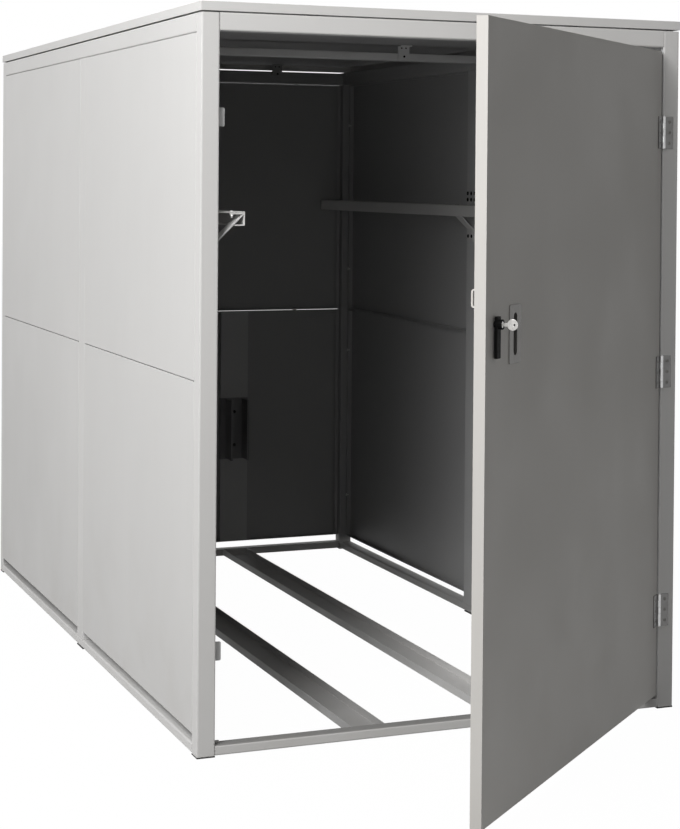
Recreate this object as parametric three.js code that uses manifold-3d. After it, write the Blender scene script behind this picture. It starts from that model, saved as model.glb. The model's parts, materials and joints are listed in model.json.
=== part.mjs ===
// Bicycle locker for two bicycles: a box-section frame with flush folded panels,
// a flat roof tray, two wheel gutters and one hinged door in the front.
// Millimetres, +Z up. X runs to the right along the front, Y runs from the front to the rear.
// The origin is the centre of the underside of the front left foot pad.

import * as THREE from 'three';
import { mergeVertices } from 'three/addons/utils/BufferGeometryUtils.js';
import Module from 'manifold-3d';

const wasm = await Module();
wasm.setup();

// Overall body
const bodyWidth = 1090;
const bodyDepth = 2040;
const postHeight = 1490;
const padThickness = 3;

// Box sections of the frame
const postSide = 38;
const midPostLength = 60;
const tubeWall = 2;
const tubeCornerRadius = 3;
const tubeCornerSteps = 1;
const topRailHeight = 38;
const headerHeight = 36;
const bottomRailHeight = 20;
const bottomRailDepth = 35;
const crossbarHeight = 20;
const crossbarDepth = 36;
const railRise = 1;
const rearRailDrop = 1.8;

// Clearances
const seatGap = 0.3;
const overrun = 5;
const weldBite = 1;

// Folded panels
const sheet = 2;
const panelFold = 18;
const panelLip = 10;
const slotHeight = 20;
const seamShare = 0.5034;
const sideSeamGap = 2;
const rearSeamGap = 2;
const panelTopGap = 1;
const spacerRadius = 6.5;
const spacerShares = [0.143, 0.857];
const spacerSides = 10;

// Roof
const roofEdge = 19;
const roofOverhang = 2;
const roofVentGap = 3;
const lugWidth = 31;
const lugThickness = 3;
const lugDrop = 17;
const lugLeg = 22;
const lugOffset = 300;
const rearLugOffset = 289;

// Wheel gutters
const gutterWidth = 75;
const gutterHeight = 18;
const gutterOffset = 165;

// Wheel holders on the rear wall
const holderStripWidth = 86;
const holderGap = 48;
const holderFinThickness = 3;
const holderFinDepth = 62;
const holderHeight = 182;
const holderLevel = 298;
const holderHem = 7;
const holderHemRadius = 2.3;
const holderBoltInset = 40;

// Guard rails along the side walls
const guardReach = 64;
const guardHeight = 29;
const guardTop = 1092;
const guardSheet = 2.5;
const guardReturn = 22;
const guardWallLip = 12;
const guardDoorClearance = 6;
const guardRearClearance = 2;
const braceWidth = 36;
const braceSheet = 3;
const braceFoot = 34;
const braceDrop = 97;
const braceTopTab = 30;
const braceBoltReach = 41;
const braceBoltSpacing = 18;
const braceBoltRise = 7;
const midBraceBoltSpacing = 22;
const midBraceBoltRise = 14;

// Holes in the middle posts, for other rail heights
const stepHoleRadius = 4;
const stepHoleSpacing = 22;
const stepHoleRise = 16.5;
const stepHoleStart = 14.5;

// Door
const doorThickness = 22;
const doorSideGap = 3;
const doorTopGap = 9;
const doorBottomGap = 8;
const doorLip = 15;
const doorOpenAngle = 43;
const stiffenerHeight = 60;
const stiffenerShares = [0.277, 0.728];
const lockStileWidth = 88;

// Hinges
const hingeHeight = 70;
const hingeBottomInset = 188;
const hingeTopInset = 178;
const knuckleRadius = 4.5;
const knuckleCount = 5;
const knuckleGap = 0.4;
const knuckleSides = 14;
const leafWidth = 25;
const leafThickness = 2;
const leafScrewShare = 0.66;
const pinRadius = 2;
const pinRunning = 0.2;
const pinHeadRadius = 3.4;
const pinHeadHeight = 1.5;

// Stops and end clips at the door opening
const stopHeight = 38;
const stopReach = 17.5;
const stopThickness = 3;
const stopCornerRadius = 3;
const stopBottomInset = 177;
const stopTopInset = 163;
const stopDoorGap = 0.5;
const clipSheet = 2.5;
const clipHeight = 14;
const clipLength = 16;
const clipDoorClearance = 4;

// Lever lock
const lockInset = 42;
const lockShare = 0.6207;
const leverWidth = 16;
const leverAbove = 14;
const leverBelow = 60;
const leverThickness = 6;
const leverCornerRadius = 2;
const leverStandoff = 2.5;
const barrelRadius = 9;
const barrelProud = 7;
const spindleRadius = 6;
const spindleRunning = 0.4;
const plugRadius = 5.5;
const plugRunning = 0.25;
const plugDepth = 9;
const plugFlangeSunk = 0.5;
const camLength = 58;
const camWidth = 18;
const camThickness = 3;
const camCornerRadius = 6;
const camDoorClearance = 4.5;
const studRadius = 4;
const studEnd = 4;
const latchPlay = 1;
const latchSlotShare = 0.76;

// Key
const keyThickness = 2.2;
const keyNeckWidth = 6.5;
const keyNeckLength = 10;
const keyBowRadius = 10;
const keyBowShare = 0.85;
const keyBladeDepth = 5;
const keyBowSides = 10;
const keyHoleRadius = 2;
const keyHoleOffset = 3.5;

// Flush pull
const pullInset = 137;
const pullDrop = 23;
const pullWidth = 56;
const pullHeight = 106;
const pullPlate = 1.5;
const pullCornerRadius = 4;
const pullSlotWidth = 17;
const pullSlotHeight = 77;
const pullCupDepth = 14;
const pullCupWall = 1.5;

// Staple on the inner face of the door
const stapleRise = 46;
const stapleHeight = 33;
const stapleReach = 9.5;
const stapleWire = 3;
const stapleOuterRadius = 5;
const stapleInnerRadius = 2;
const stapleInset = 10.5;
const stapleWidth = 3.5;

// Screw holes: shank radius and length under the head
const screwClearance = 0.3;
const hingeScrewShank = 1.9;
const hingeScrewLength = 7;
const frameScrewShank = 2.5;
const frameScrewLength = 8;
const hingeScrew = { shank: hingeScrewShank, length: hingeScrewLength };
const frameScrew = { shank: frameScrewShank, length: frameScrewLength };
const screwSides = 8;

// Levels and planes that several pieces share
const frameBottom = padThickness;
const frameTop = frameBottom + postHeight;
const bottomRailTop = frameBottom + bottomRailHeight;
const railTop = frameTop + railRise;
const topRailBottom = frameTop - topRailHeight;
const headerBottom = frameTop - headerHeight;
const panelBottom = bottomRailTop + slotHeight;
const seamMiddle = frameBottom + postHeight * seamShare;
const innerLeft = postSide;
const innerRight = bodyWidth - postSide;
const innerRear = bodyDepth - postSide;
const midPostFront = (bodyDepth - midPostLength) / 2;
const midPostRear = midPostFront + midPostLength;
const roofBottom = frameTop + roofVentGap;
const roofTop = roofBottom + roofEdge;
const roofUnderside = roofTop - sheet;
const doorLeft = innerLeft + doorSideGap;
const doorRight = innerRight - doorSideGap;
const doorBottom = bottomRailTop + doorBottomGap;
const doorTop = headerBottom - doorTopGap;
const doorHeight = doorTop - doorBottom;
const lockX = doorLeft + lockInset;
const lockZ = doorBottom + doorHeight * lockShare;
const camFront = doorThickness + camDoorClearance;
const hingeAxisX = innerRight - doorSideGap / 2;
const hingeAxisY = -(seatGap + knuckleRadius);
const wallFoldPlane = bodyDepth - panelFold;
const lowHinge = doorBottom + hingeBottomInset;
const highHinge = doorTop - hingeTopInset;
const hingeMiddles = [lowHinge, (lowHinge + highHinge) / 2, highHinge];
const stopMiddles = [doorBottom + stopBottomInset, doorTop - stopTopInset];

// Helpers.

function toSolid(geometry) {
  const plain = geometry.clone();
  plain.deleteAttribute('normal');
  plain.deleteAttribute('uv');
  const merged = mergeVertices(plain);
  const solid = new wasm.Manifold(new wasm.Mesh({
    numProp: 3,
    vertProperties: new Float32Array(merged.attributes.position.array),
    triVerts: new Uint32Array(merged.index.array),
  }));
  return solid;
}

function toGeometry(solid) {
  const mesh = solid.getMesh();
  const geometry = new THREE.BufferGeometry();
  geometry.setAttribute('position', new THREE.BufferAttribute(new Float32Array(mesh.vertProperties), 3));
  geometry.setIndex(new THREE.BufferAttribute(new Uint32Array(mesh.triVerts), 1));
  geometry.computeVertexNormals();
  return geometry;
}

// Joins overlapping solids into one, then takes the cutters away.
function shape(parts, cutters = []) {
  let solid = toSolid(parts[0]);
  for (const part of parts.slice(1)) {
    solid = solid.add(toSolid(part));
  }
  for (const cutter of cutters) {
    solid = solid.subtract(toSolid(cutter));
  }
  return toGeometry(solid);
}

// A plain block between two limits on each axis. Its corners are set to the limits themselves,
// so that blocks with a limit in common meet exactly.
function block(x, y, z) {
  const geometry = new THREE.BoxGeometry();
  const corners = geometry.attributes.position;
  for (let i = 0; i < corners.count; i += 1) {
    const high = [corners.getX(i) > 0, corners.getY(i) > 0, corners.getZ(i) > 0].map(Number);
    corners.setXYZ(i, x[high[0]], y[high[1]], z[high[2]]);
  }
  return geometry;
}

// Sweeps an outline straight along one axis. Along x the outline is drawn in (y, z),
// along y in (x, z) and along z in (x, y).
function sweep(direction, outline, from, to, curveSegments = 3) {
  const depth = to - from;
  const geometry = new THREE.ExtrudeGeometry(outline, { depth, bevelEnabled: false, curveSegments });
  const drawn = geometry.attributes.position;
  for (let i = 0; i < drawn.count; i += 1) {
    const [a, b] = [drawn.getX(i), drawn.getY(i)];
    const far = drawn.getZ(i) > depth / 2;
    if (direction === 'x') {
      drawn.setXYZ(i, far ? to : from, a, b);
    } else if (direction === 'y') {
      drawn.setXYZ(i, a, far ? from : to, b);
    } else {
      drawn.setZ(i, far ? to : from);
    }
  }
  return geometry;
}

function roundedPath(path, a, b, radius) {
  const r = Math.min(radius, (a[1] - a[0]) / 2, (b[1] - b[0]) / 2);
  path.moveTo(a[0] + r, b[0]);
  path.lineTo(a[1] - r, b[0]);
  path.absarc(a[1] - r, b[0] + r, r, -Math.PI / 2, 0);
  path.lineTo(a[1], b[1] - r);
  path.absarc(a[1] - r, b[1] - r, r, 0, Math.PI / 2);
  path.lineTo(a[0] + r, b[1]);
  path.absarc(a[0] + r, b[1] - r, r, Math.PI / 2, Math.PI);
  path.lineTo(a[0], b[0] + r);
  path.absarc(a[0] + r, b[0] + r, r, Math.PI, Math.PI * 3 / 2);
  return path;
}

function roundedOutline(a, b, radius) {
  return roundedPath(new THREE.Shape(), a, b, radius);
}

// A rectangular tube with open ends that fills the given block along one axis.
function tube(direction, x, y, z) {
  const limits = { x: [y, z, x], y: [x, z, y], z: [x, y, z] }[direction];
  const [a, b, run] = limits;
  const outline = roundedOutline(a, b, tubeCornerRadius);
  const innerA = [a[0] + tubeWall, a[1] - tubeWall];
  const innerB = [b[0] + tubeWall, b[1] - tubeWall];
  const hollow = new THREE.Path();
  hollow.moveTo(innerA[0], innerB[0]);
  hollow.lineTo(innerA[1], innerB[0]);
  hollow.lineTo(innerA[1], innerB[1]);
  hollow.lineTo(innerA[0], innerB[1]);
  outline.holes.push(hollow);
  return sweep(direction, outline, run[0], run[1], tubeCornerSteps);
}

function outlineOf(points) {
  const outline = new THREE.Shape();
  outline.moveTo(points[0][0], points[0][1]);
  for (const point of points.slice(1)) {
    outline.lineTo(point[0], point[1]);
  }
  return outline;
}

// Turns a piece drawn along +Y so that its +Y points the given way.
function pointAlong(geometry, way) {
  const turn = new THREE.Quaternion();
  turn.setFromUnitVectors(new THREE.Vector3(0, 1, 0), new THREE.Vector3(...way));
  return geometry.applyQuaternion(turn);
}

function rod(at, way, radius, from, to, sides) {
  const geometry = new THREE.CylinderGeometry(radius, radius, to - from, sides);
  geometry.translate(0, (from + to) / 2, 0);
  return pointAlong(geometry, way).translate(...at);
}

// A round bar standing upright between two levels.
function upright(x, y, radius, low, high, sides) {
  const points = Array.from({ length: sides }, (_, i) => {
    const angle = 2 * Math.PI * i / sides;
    return [x + radius * Math.cos(angle), y + radius * Math.sin(angle)];
  });
  return sweep('z', outlineOf(points), low, high);
}

// The hole of a screw: at is the point under its head, way points out of the head.
function screwHole(kind, at, way) {
  return rod(at, way, kind.shank + screwClearance, -kind.length - overrun, overrun, screwSides);
}

function material(colour, roughness, metalness) {
  return new THREE.MeshStandardMaterial({ color: colour, roughness, metalness });
}

const paint = () => material(0xc9c8c2, 0.55, 0.1);
const innerPaint = () => material(0x8b8b88, 0.6, 0.1);
const doorPaint = () => material(0xbdbcb5, 0.5, 0.1);
const stainless = () => material(0xb9b9b6, 0.35, 0.9);
const blackMetal = () => material(0x1c1c1e, 0.4, 0.3);
const brightMetal = () => material(0xd8d6d0, 0.3, 0.9);
const padRubber = () => material(0x1a1a1a, 0.85, 0);
const zincSteel = () => material(0x9a9b9c, 0.45, 0.8);

const locker = new THREE.Group();
locker.name = 'bicycle_locker';
locker.position.set(-postSide / 2, -postSide / 2, 0);

function place(group, name, geometry, finish) {
  const mesh = new THREE.Mesh(geometry, finish);
  mesh.name = name;
  group.add(mesh);
  return mesh;
}

// Screw places, listed first because the pieces they pass through are cut for them.

const frontCentreX = bodyWidth / 2;
const hingeScrewRises = [-hingeHeight / 3, 0, hingeHeight / 3];
const hingeScrewSpots = hingeMiddles.flatMap((middle) => hingeScrewRises.map((rise) => middle + rise));
const leafFront = -seatGap - leafThickness - seatGap;
const postScrewX = hingeAxisX + leafWidth * leafScrewShare;
const doorScrewX = hingeAxisX - leafWidth * leafScrewShare;
const outward = [0, -1, 0];
const postScrews = hingeScrewSpots.map((z) => ({ at: [postScrewX, leafFront, z], way: outward }));
const doorScrews = hingeScrewSpots.map((z) => ({ at: [doorScrewX, leafFront, z], way: outward }));

const guardTopLevel = frameBottom + guardTop;
const guardFront = doorThickness + guardDoorClearance;
const guardRear = wallFoldPlane - guardRearClearance;
const braceStarts = [guardFront, (bodyDepth - braceWidth) / 2];

// The front brace lies on the post by its front edge only, so its screws are one above the other.
const frontBraceY = (guardFront + postSide) / 2;
const braceFootBottom = guardTopLevel - braceDrop;
const braceFootTop = braceFootBottom + braceFoot;
const braceScrewSpots = [
  [frontBraceY, braceFootBottom + braceBoltRise],
  [frontBraceY, braceFootBottom + braceBoltRise + braceBoltSpacing],
  [(bodyDepth - midBraceBoltSpacing) / 2, braceFootBottom + midBraceBoltRise],
  [(bodyDepth + midBraceBoltSpacing) / 2, braceFootBottom + midBraceBoltRise],
];

function grown(limits, by) {
  return [limits[0] - by, limits[1] + by];
}

function inOrder(a, b) {
  return [Math.min(a, b), Math.max(a, b)];
}

function mirrorX(x, side) {
  return side === 'left' ? x : bodyWidth - x;
}

function braceScrews(side) {
  const inward = side === 'left' ? [1, 0, 0] : [-1, 0, 0];
  const faceX = mirrorX(innerLeft + seatGap + braceSheet + seatGap, side);
  return braceScrewSpots.map(([y, z]) => ({ at: [faceX, y, z], way: inward }));
}

function railScrews(side) {
  const x = mirrorX(innerLeft + braceBoltReach, side);
  const z = guardTopLevel + seatGap;
  return braceStarts.map((start) => ({ at: [x, start + braceWidth / 2, z], way: [0, 0, 1] }));
}

// The gutters lie between the threshold and the rear rail, their tops level with these.
const gutterCentres = { left: bodyWidth / 2 - gutterOffset, right: bodyWidth / 2 + gutterOffset };
const gutterY = [bottomRailDepth + seatGap, bodyDepth - bottomRailDepth - seatGap];
const gutterZ = [bottomRailTop - gutterHeight, bottomRailTop];

function holderScrews(centre) {
  const middle = frameBottom + holderLevel + holderHeight / 2;
  return [-1, 1].map((way) => ({
    at: [centre, wallFoldPlane - holderFinThickness, middle + way * (holderHeight / 2 - holderBoltInset)],
    way: outward,
  }));
}

// Two lugs are welded to the inner face of each cross member. Facing -1 looks to the front, 1 to the rear.
const crossbarFront = (bodyDepth - crossbarDepth) / 2;

function lugs(face, facing, offset) {
  const root = face - facing * weldBite;
  const outer = face + facing * lugThickness;
  const tip = face + facing * lugLeg;
  const top = roofUnderside - seatGap;
  const points = [
    [root, frameTop - lugDrop],
    [outer, frameTop - lugDrop],
    [outer, top - lugThickness],
    [tip, top - lugThickness],
    [tip, top],
    [root, top],
  ];
  return [-1, 1].map((way) => {
    const x = frontCentreX + way * offset;
    return sweep('x', outlineOf(points), x - lugWidth / 2, x + lugWidth / 2);
  });
}

function holes(kind, spots) {
  return spots.map((spot) => screwHole(kind, spot.at, spot.way));
}

// Stops and end clips in the door opening, welded to the left post and to the threshold.
function stops() {
  const wall = [innerLeft - weldBite, innerLeft + stopThickness];
  const faceY = doorThickness + stopDoorGap;
  const tip = innerLeft + stopReach;
  const r = stopCornerRadius;
  return stopMiddles.flatMap((middle) => {
    const z = [middle - stopHeight / 2, middle + stopHeight / 2];
    const outline = new THREE.Shape();
    outline.moveTo(wall[0], z[0]);
    outline.lineTo(tip - r, z[0]);
    outline.absarc(tip - r, z[0] + r, r, -Math.PI / 2, 0);
    outline.lineTo(tip, z[1] - r);
    outline.absarc(tip - r, z[1] - r, r, 0, Math.PI / 2);
    outline.lineTo(wall[0], z[1]);
    const plate = sweep('y', outline, faceY, faceY + stopThickness);
    const legY = [faceY + weldBite, postSide - tubeCornerRadius];
    const leg = block(grown(wall, -weldBite / 2), legY, grown(z, -weldBite));
    return [plate, leg];
  });
}

function clip(side) {
  const near = innerLeft + seatGap;
  const base = bottomRailTop - weldBite;
  const footTop = bottomRailTop + clipSheet;
  const points = [
    [near, base],
    [near + clipLength, base],
    [near + clipLength, footTop],
    [near + clipSheet, footTop],
    [near + clipSheet, bottomRailTop + clipHeight],
    [near, bottomRailTop + clipHeight],
  ];
  const drawn = points.map(([x, z]) => [mirrorX(x, side), z]);
  return sweep('y', outlineOf(drawn), doorThickness + clipDoorClearance, bottomRailDepth - tubeCornerRadius);
}

// The slot in the left post's inner wall that the latch turns into.
function latchSlot() {
  const y = [camFront - latchPlay, camFront + camThickness + latchPlay];
  const z = [lockZ - camLength * latchSlotShare, lockZ + camWidth / 2 + latchPlay];
  return block([innerLeft - tubeWall - overrun, innerLeft + overrun], y, z);
}

// Frame: posts and rails.

const sideSpan = [postSide + seatGap, bodyDepth - postSide - seatGap];
const frontSpan = [innerLeft + seatGap, innerRight - seatGap];
const fullHeight = [frameBottom, frameTop];
const leftPostX = [0, postSide];
const rightPostX = [innerRight, bodyWidth];
const frontPostY = [0, postSide];
const rearPostY = [innerRear, bodyDepth];
const midPostY = [midPostFront, midPostRear];
const midHeight = [bottomRailTop + seatGap, topRailBottom - seatGap];

// Rows of holes in the inner wall of a middle post, above the rail.
function stepHoles(side) {
  const inward = side === 'left' ? [1, 0, 0] : [-1, 0, 0];
  const wall = mirrorX(postSide, side);
  const above = guardTopLevel + stepHoleStart;
  const rows = [above, above + stepHoleRise];
  return rows.flatMap((z) => [-1, 0, 1].map((step) => {
    const y = bodyDepth / 2 + step * stepHoleSpacing;
    return rod([wall, y, z], inward, stepHoleRadius, -tubeWall - overrun, overrun, screwSides);
  }));
}

const frontLeftScrews = braceScrews('left').filter((spot) => spot.at[1] < postSide);
const frontRightScrews = braceScrews('right').filter((spot) => spot.at[1] < postSide);
const midLeftScrews = braceScrews('left').filter((spot) => spot.at[1] > postSide);
const midRightScrews = braceScrews('right').filter((spot) => spot.at[1] > postSide);

function addFrame() {
  const finish = paint;
  place(locker, 'post_front_left', shape(
    [tube('z', leftPostX, frontPostY, fullHeight), ...stops()],
    [...holes(frameScrew, frontLeftScrews), latchSlot()]), finish());
  place(locker, 'post_front_right', shape(
    [tube('z', rightPostX, frontPostY, fullHeight)],
    [...holes(frameScrew, frontRightScrews), ...holes(hingeScrew, postScrews)]), finish());
  place(locker, 'post_mid_left', shape(
    [tube('z', leftPostX, midPostY, midHeight)],
    [...holes(frameScrew, midLeftScrews), ...stepHoles('left')]), finish());
  place(locker, 'post_mid_right', shape(
    [tube('z', rightPostX, midPostY, midHeight)],
    [...holes(frameScrew, midRightScrews), ...stepHoles('right')]), finish());
  place(locker, 'post_rear_left', shape([tube('z', leftPostX, rearPostY, fullHeight)]), finish());
  place(locker, 'post_rear_right', shape([tube('z', rightPostX, rearPostY, fullHeight)]), finish());

  const topZ = [topRailBottom, railTop];
  const rearZ = [topRailBottom, frameTop - rearRailDrop];
  const bottomZ = [frameBottom, bottomRailTop];
  const rightRailX = [bodyWidth - bottomRailDepth, bodyWidth];
  const header = [tube('x', frontSpan, frontPostY, [headerBottom, railTop]), ...lugs(postSide, 1, lugOffset)];
  const rearRail = [tube('x', frontSpan, rearPostY, rearZ), ...lugs(innerRear, -1, rearLugOffset)];
  const sill = [tube('x', frontSpan, [0, bottomRailDepth], bottomZ), clip('left'), clip('right')];
  const crossbarY = [crossbarFront, crossbarFront + crossbarDepth];
  const crossbar = [
    tube('x', frontSpan, crossbarY, [frameTop - crossbarHeight, frameTop]),
    ...lugs(crossbarFront, -1, lugOffset),
  ];
  place(locker, 'header', shape(header), finish());
  place(locker, 'rear_top_rail', shape(rearRail), finish());
  place(locker, 'top_rail_left', shape([tube('y', leftPostX, sideSpan, topZ)]), finish());
  place(locker, 'top_rail_right', shape([tube('y', rightPostX, sideSpan, topZ)]), finish());
  place(locker, 'threshold', shape(sill), finish());
  const rearSillY = [bodyDepth - bottomRailDepth, bodyDepth];
  place(locker, 'rear_bottom_rail', shape([tube('x', frontSpan, rearSillY, bottomZ)]), finish());
  place(locker, 'bottom_rail_left', shape([tube('y', [0, bottomRailDepth], sideSpan, bottomZ)]), finish());
  place(locker, 'bottom_rail_right', shape([tube('y', rightRailX, sideSpan, bottomZ)]), finish());
  place(locker, 'roof_crossbar', shape(crossbar), finish());
}

// Six pads under the posts carry the locker on the ground.
function addPads() {
  const padZ = [0, padThickness - seatGap];
  const railX = [0, bottomRailDepth];
  const farRailX = [bodyWidth - bottomRailDepth, bodyWidth];
  const pads = {
    front_left: [leftPostX, frontPostY],
    front_right: [rightPostX, frontPostY],
    mid_left: [railX, midPostY],
    mid_right: [farRailX, midPostY],
    rear_left: [leftPostX, rearPostY],
    rear_right: [rightPostX, rearPostY],
  };
  for (const [name, [x, y]] of Object.entries(pads)) {
    place(locker, `foot_pad_${name}`, shape([block(x, y, padZ)]), padRubber());
  }
}

// Folded wall panels.

// A tray of folded sheet, with u along the wall, v into the locker and z up. toXY says how u and v lie.
function trayBlank(u, z, fold, toXY) {
  const corners = [[u[0], 0], [u[1], 0], [u[1], fold], [u[0], fold]];
  return sweep('z', outlineOf(corners.map(toXY)), z[0], z[1]);
}

// What is hollow in the tray: the space behind the sheet, and the mouth between the return lips.
function trayHollow(u, z, fold, lip, toXY) {
  const inner = [u[0] + sheet, u[1] - sheet];
  const mouth = [u[0] + lip, u[1] - lip];
  const lipPlane = fold - sheet;
  const corners = [
    [inner[0], sheet],
    [inner[1], sheet],
    [inner[1], lipPlane],
    [mouth[1], lipPlane],
    [mouth[1], fold + overrun],
    [mouth[0], fold + overrun],
    [mouth[0], lipPlane],
    [inner[0], lipPlane],
  ];
  return sweep('z', outlineOf(corners.map(toXY)), z[0] + sheet, z[1] - sheet);
}

const onLeftWall = ([u, v]) => [v, u];
const onRightWall = ([u, v]) => [bodyWidth - v, u];
const onRearWall = ([u, v]) => [u, bodyDepth - v];
const onDoor = ([u, v]) => [u, v];

// The lower and upper panels of a wall, with the gap that is kept open above each.
function panelRows(seamGap) {
  return {
    lower: { z: [panelBottom, seamMiddle - seamGap / 2], gap: seamGap },
    upper: { z: [seamMiddle + seamGap / 2, topRailBottom - panelTopGap], gap: panelTopGap },
  };
}

const sideRows = panelRows(sideSeamGap);
const rearRows = panelRows(rearSeamGap);
const frontBay = [postSide + seatGap, midPostFront - seatGap];
const rearBay = [midPostRear + seatGap, innerRear - seatGap];

// Round bosses on a panel's top fold keep the seam above it open.
function seamBosses(u, z, reach, toXY) {
  return spacerShares.map((share) => {
    const [x, y] = toXY([u[0] + (u[1] - u[0]) * share, panelFold / 2]);
    return upright(x, y, spacerRadius, z[1] - weldBite, z[1] + reach - seatGap, spacerSides);
  });
}

function panel(toXY, u, row) {
  const blank = trayBlank(u, row.z, panelFold, toXY);
  const hollow = trayHollow(u, row.z, panelFold, panelLip, toXY);
  return shape([blank, ...seamBosses(u, row.z, row.gap, toXY)], [hollow]);
}

function addPanels() {
  const walls = { left: onLeftWall, right: onRightWall };
  const bays = { front: frontBay, rear: rearBay };
  for (const name of ['lower', 'upper']) {
    for (const [side, toXY] of Object.entries(walls)) {
      for (const [bay, u] of Object.entries(bays)) {
        place(locker, `panel_${side}_${bay}_${name}`, panel(toXY, u, sideRows[name]), paint());
      }
    }
    place(locker, `panel_rear_${name}`, panel(onRearWall, frontSpan, rearRows[name]), paint());
  }
}

// Roof.

function addRoof() {
  const x = [-roofOverhang, bodyWidth + roofOverhang];
  const y = [-roofOverhang, bodyDepth + roofOverhang];
  const hollow = block(grown(x, -sheet), grown(y, -sheet), [roofBottom - overrun, roofUnderside]);
  place(locker, 'roof_tray', shape([block(x, y, [roofBottom, roofTop])], [hollow]), paint());
}

// Wheel gutters and wheel holders.

function addGutters() {
  for (const [side, centre] of Object.entries(gutterCentres)) {
    const x = [centre - gutterWidth / 2, centre + gutterWidth / 2];
    const hollowZ = [gutterZ[0] + sheet, gutterZ[1] + overrun];
    const hollow = block(grown(x, -sheet), grown(gutterY, overrun), hollowZ);
    place(locker, `wheel_gutter_${side}`, shape([block(x, gutterY, gutterZ)], [hollow]), innerPaint());
  }
}

// A wheel holder: a channel strip in the lower rear panel with a deep trough welded to it.
function wheelHolder(centre) {
  const stripZ = grown(rearRows.lower.z, -sheet - seatGap);
  const holderZ = [frameBottom + holderLevel, frameBottom + holderLevel + holderHeight];
  const stripX = [centre - holderStripWidth / 2, centre + holderStripWidth / 2];
  const stripY = [wallFoldPlane, bodyDepth - sheet - seatGap];
  const gapX = [centre - holderGap / 2, centre + holderGap / 2];
  const troughX = grown(gapX, holderFinThickness);
  const troughY = [wallFoldPlane - holderFinDepth, wallFoldPlane + weldBite];
  const hemY = [troughY[0] - weldBite, troughY[0] + holderHem];
  const hemSpread = (holderHem - holderFinThickness) / 2;
  const hemZ = grown(holderZ, weldBite);
  const hem = (x) => {
    const outline = roundedOutline(grown(x, hemSpread), hemY, holderHemRadius);
    return sweep('z', outline, hemZ[0], hemZ[1]);
  };
  const behind = [stripY[0] + sheet, stripY[1] + overrun];
  const stripHollow = block(grown(stripX, -sheet), behind, grown(stripZ, overrun));
  const between = [troughY[0] - overrun, wallFoldPlane - holderFinThickness];
  const troughHollow = block(gapX, between, grown(holderZ, overrun));
  const trough = shape([block(troughX, troughY, holderZ)], [troughHollow]);
  return shape([
    block(stripX, stripY, stripZ),
    trough,
    hem([troughX[0], gapX[0]]),
    hem([gapX[1], troughX[1]]),
  ], [stripHollow, ...holes(frameScrew, holderScrews(centre))]);
}

function addHolders() {
  for (const [side, centre] of Object.entries(gutterCentres)) {
    place(locker, `wheel_holder_${side}`, wheelHolder(centre), innerPaint());
  }
}

// Guard rails on the side walls.

// The section of the rail: a wall lip, the top, the inner web and the bottom return.
function guardOutline(side) {
  const near = innerLeft + seatGap;
  const far = innerLeft + guardReach;
  const points = [
    [near, guardTopLevel - guardWallLip],
    [near, guardTopLevel],
    [far, guardTopLevel],
    [far, guardTopLevel - guardHeight],
    [far - guardReturn, guardTopLevel - guardHeight],
    [far - guardReturn, guardTopLevel - guardHeight + guardSheet],
    [far - guardSheet, guardTopLevel - guardHeight + guardSheet],
    [far - guardSheet, guardTopLevel - guardSheet],
    [near + guardSheet, guardTopLevel - guardSheet],
    [near + guardSheet, guardTopLevel - guardWallLip],
  ];
  return outlineOf(points.map(([x, z]) => [mirrorX(x, side), z]));
}

// The brace: a foot on the post, a slanting strip and a tab under the rail's top.
function railBrace(side, start, cuts) {
  const wall = innerLeft + seatGap;
  const underTop = guardTopLevel - guardSheet - seatGap;
  const corner = innerLeft + guardReach - guardSheet - seatGap;
  const run = corner - wall;
  const rise = underTop - braceFootTop;
  const slant = Math.hypot(run, rise);
  const points = [
    [wall, braceFootBottom],
    [wall, braceFootTop],
    [corner - braceSheet * run / rise, underTop - braceSheet],
    [corner - braceTopTab, underTop - braceSheet],
    [corner - braceTopTab, underTop],
    [corner, underTop],
    [corner, underTop - braceSheet * slant / run],
    [wall + braceSheet, braceFootTop - braceSheet * (slant - rise) / run],
    [wall + braceSheet, braceFootBottom],
  ];
  const drawn = points.map(([x, z]) => [mirrorX(x, side), z]);
  return shape([sweep('y', outlineOf(drawn), start, start + braceWidth)], cuts);
}

function addGuardRails() {
  const names = ['front', 'mid'];
  for (const side of ['left', 'right']) {
    const rail = sweep('y', guardOutline(side), guardFront, guardRear);
    place(locker, `guard_rail_${side}`, shape([rail], holes(frameScrew, railScrews(side))), innerPaint());
    const cuts = [...holes(frameScrew, braceScrews(side)), ...holes(frameScrew, railScrews(side))];
    braceStarts.forEach((start, i) => {
      place(locker, `rail_brace_${names[i]}_${side}`, railBrace(side, start, cuts), innerPaint());
    });
  }
}

// Door: drawn closed, then the whole group is turned about the hinge axis.

const door = new THREE.Group();
door.name = 'door_group';
door.position.set(hingeAxisX, hingeAxisY, 0);
door.rotation.z = THREE.MathUtils.degToRad(doorOpenAngle);
locker.add(door);

function placeOnDoor(name, geometry, finish) {
  place(door, name, geometry.translate(-hingeAxisX, -hingeAxisY, 0), finish);
}

const doorX = [doorLeft, doorRight];
const doorZ = [doorBottom, doorTop];
const insideSkin = sheet + seatGap;
const insideLip = doorThickness - sheet - seatGap;
const pullX = doorLeft + pullInset;
const pullZ = lockZ - pullDrop;

function spindleHole() {
  const radius = spindleRadius + spindleRunning;
  return rod([lockX, 0, lockZ], outward, radius, -doorThickness - overrun, overrun, knuckleSides);
}

function pullSlot(spread, from, to) {
  const halfWidth = pullSlotWidth / 2 + spread;
  const halfHeight = pullSlotHeight / 2 + spread;
  const x = [pullX - halfWidth, pullX + halfWidth];
  const z = [pullZ - halfHeight, pullZ + halfHeight];
  return sweep('y', roundedOutline(x, z, halfWidth), from, to, 5);
}

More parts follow.
